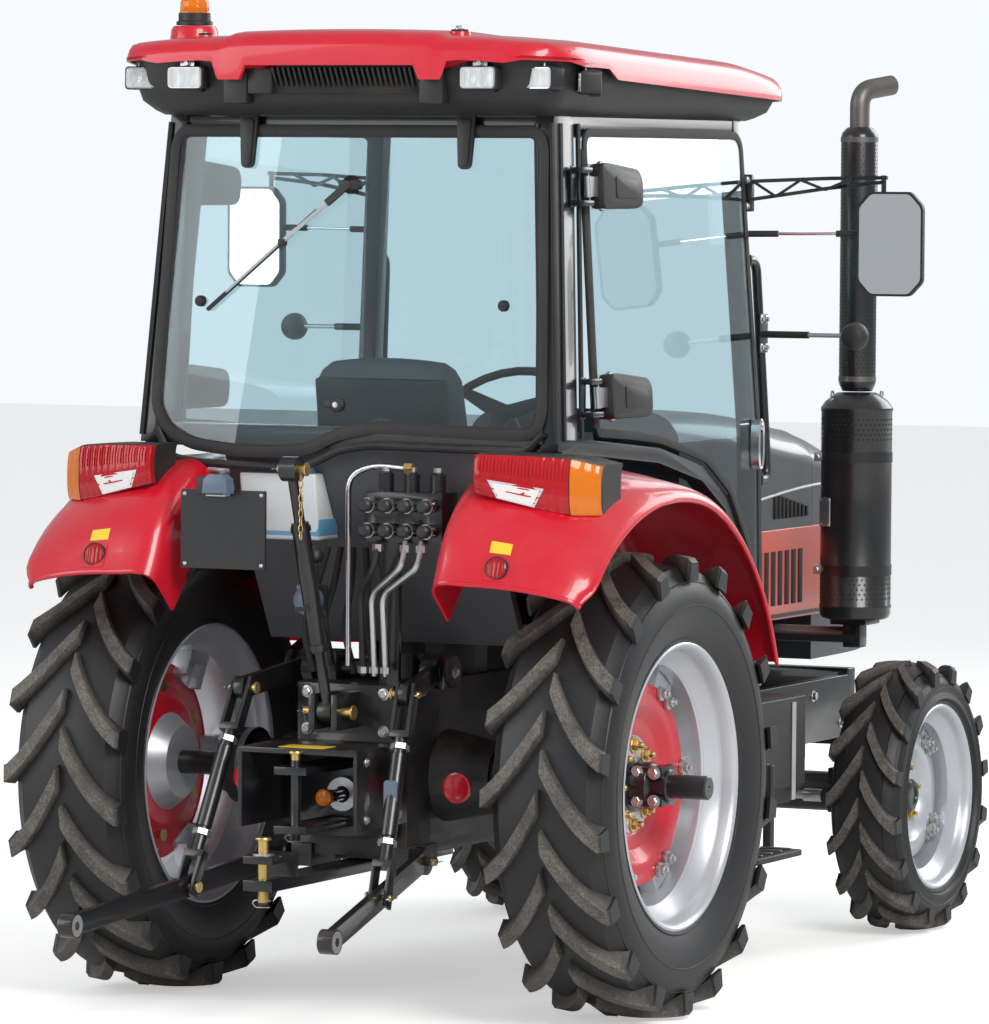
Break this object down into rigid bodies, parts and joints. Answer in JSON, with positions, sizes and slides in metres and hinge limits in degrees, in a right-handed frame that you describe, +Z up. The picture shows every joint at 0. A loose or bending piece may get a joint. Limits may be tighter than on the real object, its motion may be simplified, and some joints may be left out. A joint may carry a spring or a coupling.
{
  "type": "farm tractor",
  "caption": "Compact farm tractor with a glazed cab, lugged tyres, steered driven front axle, upright exhaust and rear three-point linkage.",
  "frame": {"origin": "on the ground, under the middle of the tractor's length and width", "axes": "+Z up, the tractor faces -Y, its right-hand side is -X"},
  "size_m": [2.3204, 4.19, 2.8703],
  "materials": {
    "red_paint": "glossy crimson paint",
    "side_red": "satin orange-red paint",
    "black_paint": "satin black paint",
    "black_plastic": "grained black plastic",
    "casting": "black painted castings",
    "rim_steel": "silver paint",
    "tyre_rubber": "dusty rubber",
    "cab_glass": "lightly tinted glass",
    "red_lens": "ribbed lens",
    "amber_lens": "clear amber lens",
    "hood_grey": "dark grey paint",
    "seat_cover": "woven cover",
    "tank_white": "translucent white plastic"
  },
  "bodies": {
    "chassis": {"battery_box": "black_paint", "beacon": "amber_lens", "cab_floor": "black_plastic", "cab_frame": "black_paint", "dashboard": "black_plastic", "drawbar": "black_paint", "engine": "casting", "exhaust_silencer": "black_paint", "exhaust_stack": "black_paint", "fender_left": "red_paint", "fender_right": "red_paint", "front_axle": "casting", "front_frame": "casting", "fuel_tank": "black_paint", "gearbox": "casting", "grab_rail_left": "black_paint", "grab_rail_right": "black_paint", "mirror_left": "black_plastic", "mirror_right": "black_plastic", "plate_bracket": "black_paint", "rear_window": "cab_glass", "roof": "red_paint", "roof_visor": "black_plastic", "seat": "seat_cover", "side_panel_left": "side_red", "side_panel_right": "side_red", "tail_lamp_left": "red_lens", "tail_lamp_right": "red_lens", "tow_hitch": "black_paint", "valve_block": "casting", "washer_tank": "tank_white", "windscreen": "cab_glass"},
    "rear_wheel_left": {"rear_tyre_left": "tyre_rubber", "rear_rim_left": "rim_steel"},
    "rear_wheel_right": {"rear_tyre_right": "tyre_rubber", "rear_rim_right": "rim_steel"},
    "front_wheel_left": {"front_tyre_left": "tyre_rubber", "front_rim_left": "rim_steel"},
    "front_wheel_right": {"front_tyre_right": "tyre_rubber", "front_rim_right": "rim_steel"},
    "knuckle_left": {"knuckle_left": "casting"},
    "knuckle_right": {"knuckle_right": "casting"},
    "steering_rod": {"steering_rod": "rim_steel"},
    "hood": {"hood": "hood_grey"},
    "door_left": {"door_left": "cab_glass"},
    "door_right": {"door_right": "cab_glass"},
    "rockshaft": {"rockshaft": "black_paint"},
    "lower_link_left": {"lower_link_left": "black_paint"},
    "lower_link_right": {"lower_link_right": "black_paint"},
    "lift_rod_left": {"lift_rod_left": "black_paint"},
    "lift_rod_right": {"lift_rod_right": "black_paint"},
    "top_link": {"top_link": "black_paint"}
  },
  "joints": [
    {"name": "rear_wheel_left_spin", "type": "hinge", "parent": "chassis", "child": "rear_wheel_left", "pos_m": [0.745, 0.855, 0.65435], "axis": [1, 0, 0], "continuous": true},
    {"name": "steer_left", "type": "hinge", "parent": "chassis", "child": "knuckle_left", "pos_m": [0.515, -1.475, 0.42434], "axis": [0, 0, 1], "range_deg": [-35, 35]},
    {"name": "front_wheel_left_spin", "type": "hinge", "parent": "knuckle_left", "child": "front_wheel_left", "pos_m": [0.665, -1.475, 0.42434], "axis": [1, 0, 0], "continuous": true},
    {"name": "rear_wheel_right_spin", "type": "hinge", "parent": "chassis", "child": "rear_wheel_right", "pos_m": [-0.745, 0.855, 0.65435], "axis": [1, 0, 0], "continuous": true},
    {"name": "steer_right", "type": "hinge", "parent": "chassis", "child": "knuckle_right", "pos_m": [-0.515, -1.475, 0.42434], "axis": [0, 0, 1], "range_deg": [-35, 35]},
    {"name": "front_wheel_right_spin", "type": "hinge", "parent": "knuckle_right", "child": "front_wheel_right", "pos_m": [-0.665, -1.475, 0.42434], "axis": [1, 0, 0], "continuous": true},
    {"name": "steering_rod_slide", "type": "slide", "parent": "chassis", "child": "steering_rod", "axis": [1, 0, 0], "range_m": [-0.1, 0.1]},
    {"name": "hood_lift", "type": "hinge", "parent": "chassis", "child": "hood", "pos_m": [0, -0.365, 1.6], "axis": [-1, 0, 0], "range_deg": [0, 45]},
    {"name": "door_left_swing", "type": "hinge", "parent": "chassis", "child": "door_left", "pos_m": [0.685, 0.965, 1.6], "axis": [-0.059, 0, 0.9983], "range_deg": [0, 80]},
    {"name": "door_right_swing", "type": "hinge", "parent": "chassis", "child": "door_right", "pos_m": [-0.685, 0.965, 1.6], "axis": [-0.059, 0, -0.9983], "range_deg": [0, 80]},
    {"name": "linkage_lift", "type": "hinge", "parent": "chassis", "child": "rockshaft", "pos_m": [0, 1.005, 0.962], "axis": [1, 0, 0], "range_deg": [-6, 42]},
    {"name": "lower_link_left_lift", "type": "hinge", "parent": "chassis", "child": "lower_link_left", "pos_m": [0.215, 1.115, 0.435], "axis": [1, 0, 0], "range_deg": [-4.3, 29.5]},
    {"name": "lift_rod_left_swing", "type": "hinge", "parent": "rockshaft", "child": "lift_rod_left", "pos_m": [0.257, 1.31, 0.92], "axis": [1, 0, 0], "range_deg": [-40.5, 6]},
    {"name": "lower_link_right_lift", "type": "hinge", "parent": "chassis", "child": "lower_link_right", "pos_m": [-0.215, 1.115, 0.435], "axis": [1, 0, 0], "range_deg": [-4.3, 29.5]},
    {"name": "lift_rod_right_swing", "type": "hinge", "parent": "rockshaft", "child": "lift_rod_right", "pos_m": [-0.257, 1.31, 0.92], "axis": [1, 0, 0], "range_deg": [-40.5, 6]},
    {"name": "top_link_swing", "type": "hinge", "parent": "chassis", "child": "top_link", "pos_m": [0, 1.285, 0.86], "axis": [-1, 0, 0], "range_deg": [0, 85]}
  ],
  "couplings": [
    {"joint": "steer_right", "follows": "steer_left", "ratio": 1},
    {"joint": "steering_rod_slide", "follows": "steer_left", "m_per_rad": -0.15},
    {"joint": "lower_link_left_lift", "follows": "linkage_lift", "ratio": 0.698},
    {"joint": "lift_rod_left_swing", "follows": "linkage_lift", "ratio": -0.96},
    {"joint": "lower_link_right_lift", "follows": "linkage_lift", "ratio": 0.698},
    {"joint": "lift_rod_right_swing", "follows": "linkage_lift", "ratio": -0.96}
  ]
}
